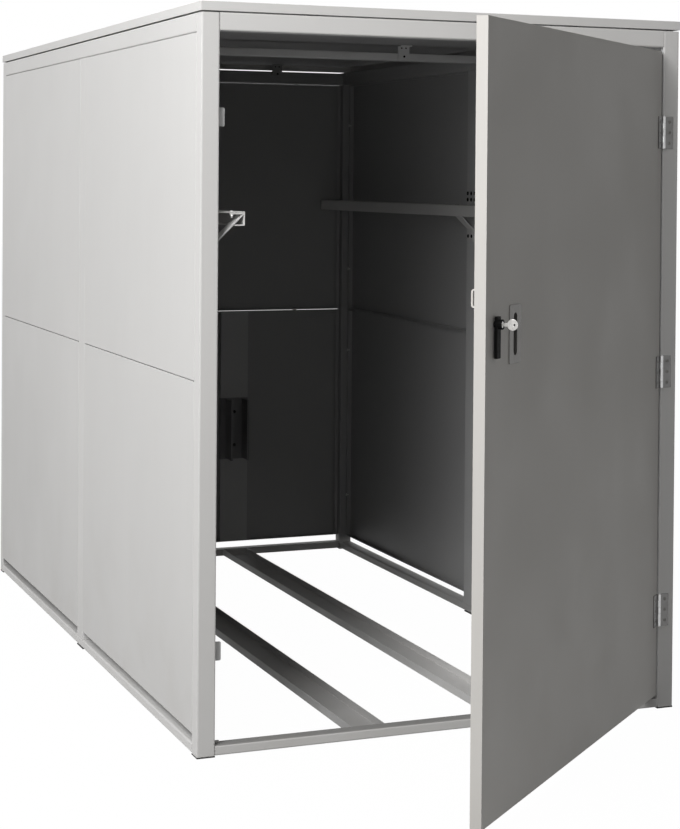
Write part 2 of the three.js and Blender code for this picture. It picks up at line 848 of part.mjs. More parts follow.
// The staple welded to the inside of the door near its free edge.
function stapleLoop() {
  const middle = lockZ + stapleRise;
  const z = [middle - stapleHeight / 2, middle + stapleHeight / 2];
  const y = [doorThickness - weldBite, doorThickness + stapleReach];
  const innerZ = [z[0] + stapleWire, z[1] - stapleWire];
  const outline = outlineOf([[y[0], z[0]], [y[0], z[1]]]);
  const r = stapleOuterRadius;
  outline.lineTo(y[1] - r, z[1]);
  outline.absarc(y[1] - r, z[1] - r, r, Math.PI / 2, 0, true);
  outline.lineTo(y[1], z[0] + r);
  outline.absarc(y[1] - r, z[0] + r, r, 0, -Math.PI / 2, true);
  const hollow = roundedPath(new THREE.Path(), [doorThickness, y[1] - stapleWire], innerZ, stapleInnerRadius);
  outline.holes.push(hollow);
  const x = doorLeft + stapleInset;
  return sweep('x', outline, x - stapleWidth / 2, x + stapleWidth / 2, 2);
}

function addDoorShell() {
  const blank = trayBlank(doorX, doorZ, doorThickness, onDoor);
  const cuts = [
    trayHollow(doorX, doorZ, doorThickness, doorLip, onDoor),
    spindleHole(),
    pullSlot(pullCupWall + seatGap, -overrun, sheet + overrun),
    ...holes(hingeScrew, doorScrews),
  ];
  placeOnDoor('door_skin', shape([blank, stapleLoop()], cuts), doorPaint());

  const stileX = [doorLeft + sheet + seatGap, doorLeft + sheet + seatGap + lockStileWidth];
  const stileZ = [doorBottom + sheet + seatGap, doorTop - sheet - seatGap];
  const channelY = [insideSkin, insideLip];
  const hollowY = [insideSkin - overrun, insideLip - sheet];
  const stileHollow = block(grown(stileX, -sheet), hollowY, grown(stileZ, overrun));
  const stile = shape([block(stileX, channelY, stileZ)], [stileHollow, spindleHole()]);
  placeOnDoor('door_lock_stile', stile, innerPaint());

  const names = ['lower', 'upper'];
  stiffenerShares.forEach((share, i) => {
    const middle = doorBottom + doorHeight * share;
    const x = [stileX[1] + seatGap, doorRight - sheet - seatGap];
    const z = [middle - stiffenerHeight / 2, middle + stiffenerHeight / 2];
    const hollow = block(grown(x, overrun), hollowY, grown(z, -sheet));
    const stiffener = shape([block(x, channelY, z)], [hollow, ...holes(hingeScrew, doorScrews)]);
    placeOnDoor(`door_stiffener_${names[i]}`, stiffener, innerPaint());
  });
}

// Hinges.

const knucklePitch = hingeHeight / knuckleCount;

// One leaf with its knuckles: side 1 is the post leaf, side -1 the door leaf.
function hingeLeaf(middle, side, spots) {
  const base = middle - hingeHeight / 2;
  const z = [base, base + hingeHeight];
  const plateY = [-seatGap - leafThickness, -seatGap];
  const plateX = [hingeAxisX, hingeAxisX + side * leafWidth].sort((a, b) => a - b);
  const barrel = upright(hingeAxisX, hingeAxisY, knuckleRadius, z[0], z[1], knuckleSides);
  const boreZ = grown(z, overrun);
  const bore = upright(hingeAxisX, hingeAxisY, pinRadius + pinRunning, boreZ[0], boreZ[1], screwSides);
  const here = spots.filter((spot) => spot.at[2] > z[0] && spot.at[2] < z[1]);
  const cuts = [bore, ...holes(hingeScrew, here)];
  const reach = knuckleRadius + knuckleGap;
  const first = side > 0 ? 1 : 0;
  for (let i = first; i < knuckleCount; i += 2) {
    const low = i === 0 ? z[0] - overrun : base + i * knucklePitch - knuckleGap / 2;
    const high = i === knuckleCount - 1 ? z[1] + overrun : base + (i + 1) * knucklePitch + knuckleGap / 2;
    cuts.push(block(
      [hingeAxisX - reach, hingeAxisX + reach],
      [hingeAxisY - reach, hingeAxisY + reach], [low, high]));
  }
  return shape([block(plateX, plateY, z), barrel], cuts);
}

function hingePin(middle) {
  const base = middle - hingeHeight / 2;
  const top = base + hingeHeight + seatGap;
  return shape([
    upright(hingeAxisX, hingeAxisY, pinRadius, base, top + pinHeadHeight / 2, screwSides),
    upright(hingeAxisX, hingeAxisY, pinHeadRadius, top, top + pinHeadHeight, knuckleSides),
  ]);
}

function addHinges() {
  const names = ['lower', 'middle', 'upper'];
  hingeMiddles.forEach((middle, i) => {
    place(locker, `hinge_${names[i]}_post_leaf`, hingeLeaf(middle, 1, postScrews), stainless());
    placeOnDoor(`hinge_${names[i]}_door_leaf`, hingeLeaf(middle, -1, doorScrews), stainless());
    place(locker, `hinge_${names[i]}_pin`, hingePin(middle), stainless());
  });
}

// Lever lock, key, flush pull and staple.

function addLock() {
  const centre = [lockX, 0, lockZ];
  const leverY = [-leverStandoff - leverThickness, -leverStandoff];
  const barrelFront = leverY[0] - barrelProud;
  const spindleEnd = camFront - seatGap;
  const studTip = camFront + camThickness + studEnd;
  const plugBack = barrelFront + plugDepth;
  const handle = sweep('y', roundedOutline(
    [lockX - leverWidth / 2, lockX + leverWidth / 2],
    [lockZ - leverBelow, lockZ + leverAbove], leverCornerRadius), leverY[0], leverY[1]);
  const barrel = rod(centre, outward, barrelRadius, weldBite - leverY[1], -barrelFront, knuckleSides);
  const spindle = rod(centre, outward, spindleRadius, -spindleEnd, weldBite - leverY[1], knuckleSides);
  const stud = rod(centre, outward, studRadius, -studTip, 0, screwSides);
  const boreRadius = plugRadius + plugRunning;
  const bore = rod(centre, outward, boreRadius, -plugBack, -barrelFront + overrun, knuckleSides);
  placeOnDoor('lever_handle', shape([handle, barrel, spindle, stud], [bore]), blackMetal());

  const cam = sweep('y', roundedOutline(
    [lockX - camWidth / 2, lockX + camWidth / 2],
    [lockZ - camLength, lockZ + camWidth / 2], camCornerRadius), camFront, camFront + camThickness);
  const studHole = rod(centre, outward, studRadius + seatGap, -studTip, 0, screwSides);
  placeOnDoor('latch_cam', shape([cam], [studHole]), zincSteel());

  // The key's blade sits in a slot of the plug.
  const plugFront = barrelFront + plugFlangeSunk;
  const neckY = [plugFront - keyNeckLength, plugFront + keyBladeDepth];
  const halfThick = keyThickness / 2;
  const halfWide = keyNeckWidth / 2;
  const slot = block(
    [lockX - halfThick - seatGap, lockX + halfThick + seatGap],
    [plugFront - overrun, neckY[1] + seatGap],
    [lockZ - halfWide - seatGap, lockZ + halfWide + seatGap]);
  const plug = rod(centre, outward, plugRadius, -plugBack + seatGap, -plugFront, knuckleSides);
  placeOnDoor('lock_plug', shape([plug], [slot]), brightMetal());

  const bowY = neckY[0] - keyBowRadius * keyBowShare;
  const meet = Math.asin(halfWide / keyBowRadius);
  const bowMeets = bowY + keyBowRadius * Math.cos(meet);
  const outline = outlineOf([[neckY[1], lockZ - halfWide], [bowMeets, lockZ - halfWide]]);
  outline.absarc(bowY, lockZ, keyBowRadius, -meet, meet, true);
  outline.lineTo(neckY[1], lockZ + halfWide);
  const blank = sweep('x', outline, lockX - halfThick, lockX + halfThick, keyBowSides);
  const ringY = bowY - keyHoleOffset;
  const ring = rod([lockX, ringY, lockZ], [1, 0, 0], keyHoleRadius, -keyThickness, keyThickness, screwSides);
  placeOnDoor('lock_key', shape([blank], [ring]), brightMetal());
}

function addPull() {
  const plateY = [-seatGap - pullPlate, -seatGap];
  const plate = sweep('y', roundedOutline(
    [pullX - pullWidth / 2, pullX + pullWidth / 2],
    [pullZ - pullHeight / 2, pullZ + pullHeight / 2], pullCornerRadius), plateY[0], plateY[1]);
  const cup = pullSlot(pullCupWall, plateY[0] + pullPlate / 2, pullCupDepth + pullCupWall);
  const hollow = pullSlot(0, plateY[0] - overrun, pullCupDepth);
  placeOnDoor('flush_pull', shape([plate, cup], [hollow]), stainless());
}

addFrame();
addPads();
addPanels();
addRoof();
addGutters();
addHolders();
addGuardRails();
addDoorShell();
addHinges();
addLock();
addPull();

export default locker;
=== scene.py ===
# %% [markdown]
# # Dressing a bicycle locker
# The locker is a box-section frame, closed with flush folded panels and one door. Its shape is
# already exact in the CAD frame, so this lesson adds what the CAD leaves out: the powder coat with
# its tone and wear, the screws and rivets, the weld beads, and the light of the photograph.

import json
import math
import random

import bpy
import bmesh
from mathutils import Matrix, Vector


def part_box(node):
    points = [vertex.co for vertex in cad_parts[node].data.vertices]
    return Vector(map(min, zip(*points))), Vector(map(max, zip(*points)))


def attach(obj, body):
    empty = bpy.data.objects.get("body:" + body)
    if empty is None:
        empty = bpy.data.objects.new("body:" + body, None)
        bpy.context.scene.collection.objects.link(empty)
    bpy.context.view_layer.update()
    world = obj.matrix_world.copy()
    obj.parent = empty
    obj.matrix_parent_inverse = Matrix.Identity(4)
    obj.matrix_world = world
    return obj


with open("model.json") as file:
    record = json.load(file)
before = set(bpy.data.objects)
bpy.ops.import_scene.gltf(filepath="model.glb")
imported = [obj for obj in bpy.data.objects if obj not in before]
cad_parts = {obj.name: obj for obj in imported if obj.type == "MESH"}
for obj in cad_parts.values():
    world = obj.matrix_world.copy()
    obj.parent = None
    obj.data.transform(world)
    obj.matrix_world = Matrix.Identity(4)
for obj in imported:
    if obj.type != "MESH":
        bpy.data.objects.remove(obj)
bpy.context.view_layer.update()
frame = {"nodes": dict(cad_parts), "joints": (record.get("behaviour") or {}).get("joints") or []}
nodes = frame["nodes"]
MM = 0.001

# %% [markdown]
# ## Where things are
# Every later step asks for the same few places: the outer faces of the cabinet, the hinge line and
# how far the door stands open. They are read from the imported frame, so nothing is typed twice.

# %% Read the main places
SIDES = ("left", "right")
front_left_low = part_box("post_front_left")[0]
front_right_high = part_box("post_front_right")[1]
rear_post_low, rear_post_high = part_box("post_rear_right")
roof_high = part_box("roof_tray")[1]
CABINET_LOW = Vector((front_left_low.x, front_left_low.y, 0.0))
CABINET_HIGH = Vector((front_right_high.x, rear_post_high.y, roof_high.z))
joints = {joint["name"]: joint for joint in frame["joints"]}
HINGE = Vector(joints["door_hinge"]["pos_m"])
OPENING = -math.radians(joints["door_hinge"]["range_deg"][0])
DOOR_TURN = Matrix.Translation(HINGE) @ Matrix.Rotation(OPENING, 4, "Z") @ Matrix.Translation(-HINGE)
print("door stands open by", round(math.degrees(OPENING), 1), "degrees")


def on_door(x, y, z):
    """A place on the closed door, carried to where the open door has it."""
    return DOOR_TURN @ Vector((x, y, z))


def inner_side(side, box):
    """The X of a box's inner face on one side of the cabinet, and the way that it looks."""
    low, high = box
    return (high.x, 1) if side == "left" else (low.x, -1)


# %% [markdown]
# ## The camera
# The photograph was taken at chest height from the front left. A fit to the straight edges of the
# frame gave the place, the turn and the focal length. The picture is a crop, so the lens centre
# isn't the picture centre, and a small shift stands for that.

# %% Set the camera
CAMERA_PLACE = Vector((-1.14141, -3.81164, 1.16392))
CAMERA_YAW = math.radians(22.92)
CAMERA_PITCH = math.radians(-0.7921)
CAMERA_ROLL = math.radians(0.482)
PICTURE_WIDTH, PICTURE_HEIGHT = 680, 829
FOCAL_PIXELS = 1974.58
LENS_CENTRE = (423.20, 206.23)
SENSOR = 36.0

ahead_level = Vector((math.sin(CAMERA_YAW), math.cos(CAMERA_YAW), 0))
right_level = Vector((math.cos(CAMERA_YAW), -math.sin(CAMERA_YAW), 0))
up = Vector((0, 0, 1))
ahead = math.cos(CAMERA_PITCH) * ahead_level + math.sin(CAMERA_PITCH) * up
up_pitched = -math.sin(CAMERA_PITCH) * ahead_level + math.cos(CAMERA_PITCH) * up
right_rolled = math.cos(CAMERA_ROLL) * right_level + math.sin(CAMERA_ROLL) * up_pitched
up_rolled = -math.sin(CAMERA_ROLL) * right_level + math.cos(CAMERA_ROLL) * up_pitched

camera = bpy.data.objects.new("camera", bpy.data.cameras.new("camera"))
bpy.context.scene.collection.objects.link(camera)
turn = Matrix((right_rolled, up_rolled, -ahead)).transposed().to_4x4()
camera.matrix_world = Matrix.Translation(CAMERA_PLACE) @ turn
camera.data.sensor_width = SENSOR
camera.data.lens = FOCAL_PIXELS * SENSOR / PICTURE_HEIGHT
camera.data.shift_x = (PICTURE_WIDTH / 2 - LENS_CENTRE[0]) / PICTURE_HEIGHT
camera.data.shift_y = (LENS_CENTRE[1] - PICTURE_HEIGHT / 2) / PICTURE_HEIGHT
bpy.context.scene.camera = camera
print("lens", round(camera.data.lens, 2), "mm")

# %% [markdown]
# ## Building materials from nodes
# A material here is a small graph of nodes. These helpers keep the graphs readable. A value that
# goes into a node is either a plain number or the output of another node, and feed takes both.

# %% Node helpers


def new_material(name):
    material = bpy.data.materials.new(name)
    material.use_nodes = True
    tree = material.node_tree
    return material, tree, tree.nodes["Principled BSDF"]


def feed(tree, socket, value):
    """Links a node's output into a socket, or sets a plain value on it."""
    if isinstance(value, bpy.types.NodeSocket):
        tree.links.new(value, socket)
    else:
        socket.default_value = value


def add(tree, kind, inputs=None, **settings):
    node = tree.nodes.new(kind)
    for key, value in settings.items():
        setattr(node, key, value)
    for key, value in (inputs or {}).items():
        feed(tree, node.inputs[key], value)
    return node


def math_node(tree, operation, *values):
    node = add(tree, "ShaderNodeMath", operation=operation)
    for socket, value in zip(node.inputs, values):
        feed(tree, socket, value)
    return node.outputs[0]


# %% [markdown]
# Three more make the graphs shorter: a product of any number of values, the three axes of a place,
# and a ramp, which turns one range of values into another.

# %% Number helpers


def product(tree, first, *others):
    for other in others:
        first = math_node(tree, "MULTIPLY", first, other)
    return first


def axes_of(tree, vector):
    """The X, Y and Z of a place or a direction."""
    return add(tree, "ShaderNodeSeparateXYZ", {"Vector": vector}).outputs


def ramp(tree, value, low, high, out_low=0.0, out_high=1.0):
    """Goes from out_low to out_high while the value goes from low to high, and stays there."""
    return add(tree, "ShaderNodeMapRange", {
        "Value": value, "From Min": low, "From Max": high, "To Min": out_low, "To Max": out_high,
    }, clamp=True).outputs["Result"]


# %% [markdown]
# Colours are written as greys with a little warmth. They are blended by a mask, or scaled by a tone.
# A noise texture gives values that nearly all lie between 0.3 and 0.7, so a pattern is a noise that
# is spread from there to the two values that it should swing between.

# %% Colour and noise helpers
NOISE_LOW, NOISE_HIGH = 0.3, 0.7
BLUE_LOSS = 1.6


def grey(value, warmth=0.0):
    return (value * (1 + warmth), value, value * (1 - BLUE_LOSS * warmth), 1.0)


def blend_colours(tree, mask, first, second):
    node = add(tree, "ShaderNodeMix", data_type="RGBA")
    mask_socket, first_socket, second_socket = node.inputs[0], node.inputs[6], node.inputs[7]
    feed(tree, mask_socket, mask)
    feed(tree, first_socket, first)
    feed(tree, second_socket, second)
    return node.outputs[2]


def scale_colour(tree, colour, tone):
    node = add(tree, "ShaderNodeVectorMath", {"Scale": tone}, operation="SCALE")
    linked = isinstance(colour, bpy.types.NodeSocket)
    feed(tree, node.inputs[0], colour if linked else colour[:3])
    return node.outputs[0]


def noise(tree, place, scale, detail, stretch=(1.0, 1.0, 1.0)):
    """A noise value at a place, in features per metre, squeezed along each axis by stretch."""
    mapping = add(tree, "ShaderNodeMapping", {"Vector": place, "Scale": stretch})
    return add(tree, "ShaderNodeTexNoise", {
        "Vector": mapping.outputs[0], "Scale": scale, "Detail": detail,
    }).outputs["Fac"]


def swing(tree, value, low, high):
    """A noise value, spread between two values."""
    return ramp(tree, value, NOISE_LOW, NOISE_HIGH, low, high)


# %% [markdown]
# ## Worn edges
# Paint is thinnest on a folded edge, and that is where it rubs and catches light. The Bevel node
# gives a normal that is rounded near edges. Where it differs from the true normal there is an edge,
# and that difference, broken up by noise, is the mask for the wear.

# %% Edge mask
FLAT, SHARP = 0.995, 0.90
PATCHES, PATCH_RANGE = (60.0, 3.0), (0.42, 0.62)


def edge_mask(tree, place, radius):
    rounded = add(tree, "ShaderNodeBevel", {"Radius": radius}, samples=4).outputs[0]
    true = add(tree, "ShaderNodeNewGeometry").outputs["Normal"]
    alike = add(tree, "ShaderNodeVectorMath", {0: rounded, 1: true}, operation="DOT_PRODUCT")
    edge = ramp(tree, alike.outputs["Value"], FLAT, SHARP)
    patches = ramp(tree, noise(tree, place, *PATCHES), *PATCH_RANGE)
    return product(tree, edge, patches)


# %% [markdown]
# ## Masks for the coat
# The inside of the cabinet is darkened with painted shade, deeper still toward the rear. So the coat looks
# at how deep a point lies behind the outer faces, and at how far back it is. The lowest rails keep most
# of the outside colour and get less of the painted shade. A band between two levels can have painted shade
# of its own.

# %% Masks by place
SKIN_DEPTH = 1.5 * MM
SKIN_SPREAD = 0.1
RAIL_FADE = (26 * MM, 40 * MM)
RAIL_SHARE = 0.25
DEEP_SHARES = (0.45, 0.97)
BAND_FADE = 1 * MM


def inside_shade_mask(tree, place):
    """1 where a point lies behind the cabinet's outer faces and gets painted shade, 0 on them."""
    x, y, z = axes_of(tree, place)
    low, high = CABINET_LOW, CABINET_HIGH
    pairs = [(x, low.x), (high.x, x), (y, low.y), (high.y, y), (high.z, z)]
    depths = [math_node(tree, "SUBTRACT", first, second) for first, second in pairs]
    least = depths[0]
    for depth in depths[1:]:
        least = math_node(tree, "MINIMUM", least, depth)
    behind = ramp(tree, least, SKIN_DEPTH * (1 - SKIN_SPREAD), SKIN_DEPTH * (1 + SKIN_SPREAD))
    return product(tree, behind, ramp(tree, z, *RAIL_FADE, RAIL_SHARE, 1.0))


def rear_shade_mask(tree, place):
    """0 in the front of the cabinet, rising to 1 near the rear wall, where the painted shade is deepest."""
    start, end = [share * CABINET_HIGH.y for share in DEEP_SHARES]
    return ramp(tree, axes_of(tree, place)[1], start, end)


def band_mask(tree, height, low, high):
    """1 between two levels."""
    rises = ramp(tree, height, low - BAND_FADE, low + BAND_FADE)
    falls = ramp(tree, height, high + BAND_FADE, high - BAND_FADE)
    return product(tree, rises, falls)


# %% [markdown]
# ## Powder coat
# The whole cabinet is sprayed with a light warm grey powder coat. It has a fine orange-peel skin, a
# slow drift in tone across each sheet, faint rain streaks, and dust from the ground low down. A coat
# can get painted shade toward its foot, and painted shade where it looks up.

# %% The tone of the coat
# Each pattern has its features per metre and its levels of detail
DRIFT, DRIFT_TONES = (1.3, 3.0), (0.975, 1.02)
STREAKS, STREAK_TONES = (18.0, 4.0), (0.995, 1.004)
DOWNWARD = (1.0, 1.0, 0.12)
FOOT_TOP = 0.9
UPWARD_RANGE = (0.5, 0.95)


def coat_tone(tree, place, height, foot, top_shade):
    """How much lighter or darker the coat is at a place, with painted shade toward the foot and on faces
    that look up.
    """
    drift = swing(tree, noise(tree, place, *DRIFT), *DRIFT_TONES)
    streaks = swing(tree, noise(tree, place, *STREAKS, DOWNWARD), *STREAK_TONES)
    # The foot term is painted shade, darker toward the ground.
    tone = product(tree, drift, streaks, ramp(tree, height, 0.0, FOOT_TOP, foot, 1.0))
    # Faces that look up get painted shade.
    if top_shade < 1.0:
        upward = axes_of(tree, add(tree, "ShaderNodeTexCoord").outputs["Normal"])[2]
        tone = product(tree, tone, ramp(tree, upward, *UPWARD_RANGE, 1.0, top_shade))
    return tone


# %% [markdown]
# The colour of the place is scaled by that tone. Then come the dust low down, the worn edges, and
# the skin, whose peel is a fine bump.

# %% Powder coat
GRIME, GRIME_RANGE = (9.0, 5.0), (0.45, 0.75)
GRIME_TOP, GRIME_SHARE, GRIME_COLOUR = 0.45, 0.10, (0.36, 0.32, 0.26, 1.0)
WEAR_RADIUS, WEAR_SHARE, WEAR_COLOUR = 1.2 * MM, 0.10, (0.82, 0.82, 0.80, 1.0)
PEEL, PEEL_STRENGTH, PEEL_DEPTH = (420.0, 2.0), 0.12, 0.4 * MM
GLOSS, PAINT_ROUGHNESS = (5.0, 4.0), (0.45, 0.57)
PAINT_SHINE = 0.2


def powder_coat(name, outside, inside_shade=None, rear_shade=None, shade_band=None, foot=1.0, top_shade=1.0):
    material, tree, shader = new_material(name)
    place = add(tree, "ShaderNodeTexCoord").outputs["Object"]
    height = axes_of(tree, place)[2]

    colour = outside
    # Painted shade inside the cabinet, deeper toward the rear wall.
    if inside_shade is not None:
        inner_shade = blend_colours(tree, rear_shade_mask(tree, place), inside_shade, rear_shade)
        colour = blend_colours(tree, inside_shade_mask(tree, place), outside, inner_shade)
    # Painted shade in a band between two levels.
    if shade_band is not None:
        low, high, dark = shade_band
        colour = blend_colours(tree, band_mask(tree, height, low, high), colour, dark)
    toned = scale_colour(tree, colour, coat_tone(tree, place, height, foot, top_shade))

    patches = ramp(tree, noise(tree, place, *GRIME), *GRIME_RANGE)
    dust = product(tree, ramp(tree, height, GRIME_TOP, 0.0), patches, GRIME_SHARE)
    dusty = blend_colours(tree, dust, toned, GRIME_COLOUR)
    edges = product(tree, edge_mask(tree, place, WEAR_RADIUS), WEAR_SHARE)
    feed(tree, shader.inputs["Base Color"], blend_colours(tree, edges, dusty, WEAR_COLOUR))

    gloss = noise(tree, place, *GLOSS)
    feed(tree, shader.inputs["Roughness"], swing(tree, gloss, *PAINT_ROUGHNESS))
    peel = {"Height": noise(tree, place, *PEEL), "Strength": PEEL_STRENGTH, "Distance": PEEL_DEPTH}
    feed(tree, shader.inputs["Normal"], add(tree, "ShaderNodeBump", peel).outputs[0])
    shader.inputs["Specular IOR Level"].default_value = PAINT_SHINE
    return material


# %% [markdown]
# ## The painted parts
# The panels, the frame and the roof are one colour outside and get painted shade inside. The threshold's
# top gets painted shade. The left wheel gutter gets painted shade from its wall, and the right one gets
# painted light. A wheel holder has a band of painted shade where its trough sits on the strip.

# %% Mix the coats
OUTSIDE_GREY = grey(0.66, 0.012)
# Painted shade toward the foot of the frame and of the panels.
FRAME_FOOT_SHADE, PANEL_FOOT_SHADE = 0.97, 0.90
PANEL_REAR_SHADE = grey(0.29)
TROUGH_SHADE_LEVELS = (298 * MM, 486 * MM)
# Inside, each coat turns to painted shade: the first inside grey at the front, the darker one near the rear
# wall.
frame_coat = powder_coat("frame_coat", OUTSIDE_GREY, grey(0.66), grey(0.27), foot=FRAME_FOOT_SHADE)
panel_coat = powder_coat("panel_coat", OUTSIDE_GREY, grey(0.58), PANEL_REAR_SHADE, foot=PANEL_FOOT_SHADE)
roof_coat = powder_coat("roof_coat", OUTSIDE_GREY, grey(0.40), PANEL_REAR_SHADE)
door_coat = powder_coat("door_coat", grey(0.58, 0.03))
fitting_coat = powder_coat("fitting_coat", grey(0.66, 0.01))
# The threshold's top gets painted shade on its upward faces.
threshold_coat = powder_coat("threshold_coat", OUTSIDE_GREY, foot=FRAME_FOOT_SHADE, top_shade=0.52)
# Painted shade darkens the left gutter, and painted light lightens the right one.
left_gutter_shade_coat = powder_coat("left_gutter_shade_coat", grey(0.46, 0.01))
right_gutter_light_coat = powder_coat("right_gutter_light_coat", grey(0.74, 0.01))
# The dark band on each wheel holder is painted shade in its trough, between the fins.
holder_coat = powder_coat("holder_coat", grey(0.38), shade_band=(*TROUGH_SHADE_LEVELS, grey(0.18)))
print("powder coats:", sum("coat" in material.name for material in bpy.data.materials))

# %% [markdown]
# ## Bare metals
# The flush pull and the hinges are brushed steel: long fine scratches along one way, made with noise
# that is stretched, drive both the roughness and a slight bump. The hinges' knuckles get a painted
# highlight. The key, the bolts and the screws only vary softly. The lever is black, worn at its rim.

# %% Where the knuckles' painted highlight goes
KNUCKLE_REACH, KNUCKLE_SPREAD = 4.6 * MM, 0.05


def knuckle_highlight_mask(tree, place):
    """1 close to the hinge line, where the knuckles get their painted highlight."""
    axes = axes_of(tree, place)
    aside = math_node(tree, "SUBTRACT", axes[0], HINGE.x)
    before = math_node(tree, "SUBTRACT", axes[1], HINGE.y)
    squared = math_node(tree, "MULTIPLY_ADD", before, before, product(tree, aside, aside))
    reach = math_node(tree, "SQRT", squared)
    return ramp(tree, reach, KNUCKLE_REACH * (1 + KNUCKLE_SPREAD), KNUCKLE_REACH * (1 - KNUCKLE_SPREAD))


# %% Metals
SCRATCHES, SCRATCH_DEPTH = (900.0, 3.0), 0.05 * MM
CLOUD, CLOUD_TONES = (40.0, 4.0), (0.86, 1.08)
SMOOTHER, ROUGHER = 0.08, 0.1
RIM_RADIUS = 0.8 * MM
ALONG_Z, EVEN = (1.0, 1.0, 0.03), (0.2, 0.2, 0.2)


def metal(name, colour, roughness, stretch, scratch=0.15, metallic=1.0, shine=0.5, wear=None, knuckle_highlight=None):
    material, tree, shader = new_material(name)
    place = add(tree, "ShaderNodeTexCoord").outputs["Object"]
    lines = noise(tree, place, *SCRATCHES, stretch)
    shade = swing(tree, noise(tree, place, *CLOUD), *CLOUD_TONES)
    shown = scale_colour(tree, colour, shade)
    if wear is not None:
        shown = blend_colours(tree, edge_mask(tree, place, RIM_RADIUS), shown, wear)
    # Painted highlight on the knuckles, near the hinge line.
    if knuckle_highlight is not None:
        shown = blend_colours(tree, knuckle_highlight_mask(tree, place), shown, knuckle_highlight)
    feed(tree, shader.inputs["Base Color"], shown)
    feed(tree, shader.inputs["Roughness"], swing(tree, lines, roughness - SMOOTHER, roughness + ROUGHER))
    bump = {"Height": lines, "Strength": scratch, "Distance": SCRATCH_DEPTH}
    feed(tree, shader.inputs["Normal"], add(tree, "ShaderNodeBump", bump).outputs[0])
    shader.inputs["Metallic"].default_value = metallic
    shader.inputs["Specular IOR Level"].default_value = shine
    return material


FAINT = 0.06
BLACK = {"scratch": 0.08, "metallic": 0.0, "shine": 0.03, "wear": grey(0.03)}
stainless = metal("brushed_stainless", grey(0.16, 0.03), 0.40, ALONG_Z, metallic=0.45, shine=0.3)
# The lighter grey on the hinge knuckles is a painted highlight.
hinge_steel = metal("hinge_steel", grey(0.14, 0.01), 0.36, ALONG_Z, knuckle_highlight=grey(0.52))
key_steel = metal("key_steel", grey(0.52, 0.02), 0.30, EVEN, scratch=FAINT)
plated = metal("bright_plating", grey(0.72, 0.01), 0.24, EVEN, scratch=FAINT)
zinc = metal("zinc_plating", grey(0.46), 0.42, EVEN, scratch=0.1)
black_coat = metal("black_coat", grey(0.006), 0.5, EVEN, **BLACK)
print("metals:", [m.name for m in (stainless, hinge_steel, key_steel, plated, zinc, black_coat)])

# %% [markdown]
# ## Rubber
# The foot pads are dark rubber with a dull, slightly mottled skin.

# %% Rubber
MOTTLE, MOTTLE_RANGE = (120.0, 4.0), (0.35, 0.7)
GRAIN, GRAIN_STRENGTH, GRAIN_DEPTH = (600.0, 3.0), 0.3, 0.3 * MM
RUBBER_ROUGHNESS = 0.85


def rubber_material():
    material, tree, shader = new_material("pad_rubber")
    place = add(tree, "ShaderNodeTexCoord").outputs["Object"]
    mottle = ramp(tree, noise(tree, place, *MOTTLE), *MOTTLE_RANGE)
    feed(tree, shader.inputs["Base Color"], blend_colours(tree, mottle, grey(0.012), grey(0.035, 0.05)))
    grain = {"Height": noise(tree, place, *GRAIN), "Strength": GRAIN_STRENGTH, "Distance": GRAIN_DEPTH}
    feed(tree, shader.inputs["Normal"], add(tree, "ShaderNodeBump", grain).outputs[0])
    shader.inputs["Roughness"].default_value = RUBBER_ROUGHNESS
    return material


rubber = rubber_material()
print("rubber:", rubber.name)

# %% [markdown]
# ## Dressing the CAD pieces
# The CAD shapes stay as they are. The start of a piece's name says what it is, and that gives its
# material and the radius of its folds. What isn't listed belongs to the frame.

# %% Choose the finishes
# The material, and the radius of the folds in mm
FINISHES = {
    "foot_pad": (rubber, 0.3),
    "hinge": (hinge_steel, 0.25),
    "wheel_holder": (holder_coat, 0.6),
    "wheel_gutter_left": (left_gutter_shade_coat, 0.6),
    "wheel_gutter_right": (right_gutter_light_coat, 0.6),
    "guard_rail": (fitting_coat, 0.6),
    "rail_brace": (fitting_coat, 0.6),
    "panel_": (panel_coat, 0.8),
    "roof_tray": (roof_coat, 0.8),
    "door_": (door_coat, 0.8),
    "threshold": (threshold_coat, 0.3),
    "flush_pull": (stainless, 0.25),
    "lever_handle": (black_coat, 0.5),
    "latch_cam": (zinc, 0.4),
    "lock_plug": (plated, 0.2),
    "lock_key": (key_steel, 0.3),
}
FRAME_FINISH = (frame_coat, 0.3)


def finish_of(name):
    for start, finish in FINISHES.items():
        if name.startswith(start):
            return finish
    return FRAME_FINISH


print("finishes:", len(FINISHES) + 1)

# %% [markdown]
# Each piece gets two modifiers: Weld joins the split corners of the imported mesh, and Bevel rounds
# each fold as sheet metal is rounded, so that edges catch a thin line of light.

# %% Dress the CAD pieces
WELD_REACH = 0.01 * MM
FOLD_ANGLE = math.radians(50)


def soften(piece, radius):
    weld = piece.modifiers.new("join_corners", "WELD")
    weld.merge_threshold = WELD_REACH
    bevel = piece.modifiers.new("rounded_folds", "BEVEL")
    bevel.width = radius * MM
    bevel.segments = 2
    bevel.limit_method = "ANGLE"
    bevel.angle_limit = FOLD_ANGLE
    bevel.use_clamp_overlap = True


for name, piece in nodes.items():
    material, radius = finish_of(name)
    piece.data.materials.clear()
    piece.data.materials.append(material)
    soften(piece, radius)
print("dressed", len(nodes), "CAD pieces")

# %% [markdown]
# ## A lathe for small parts
# Screws, bolts, rivets and caps are lathe shapes, spun in bmesh from a short profile in mm. Most are
# a head on a shank. A nut is a ring with six sides, so its profile is closed.

# %% Spin a profile


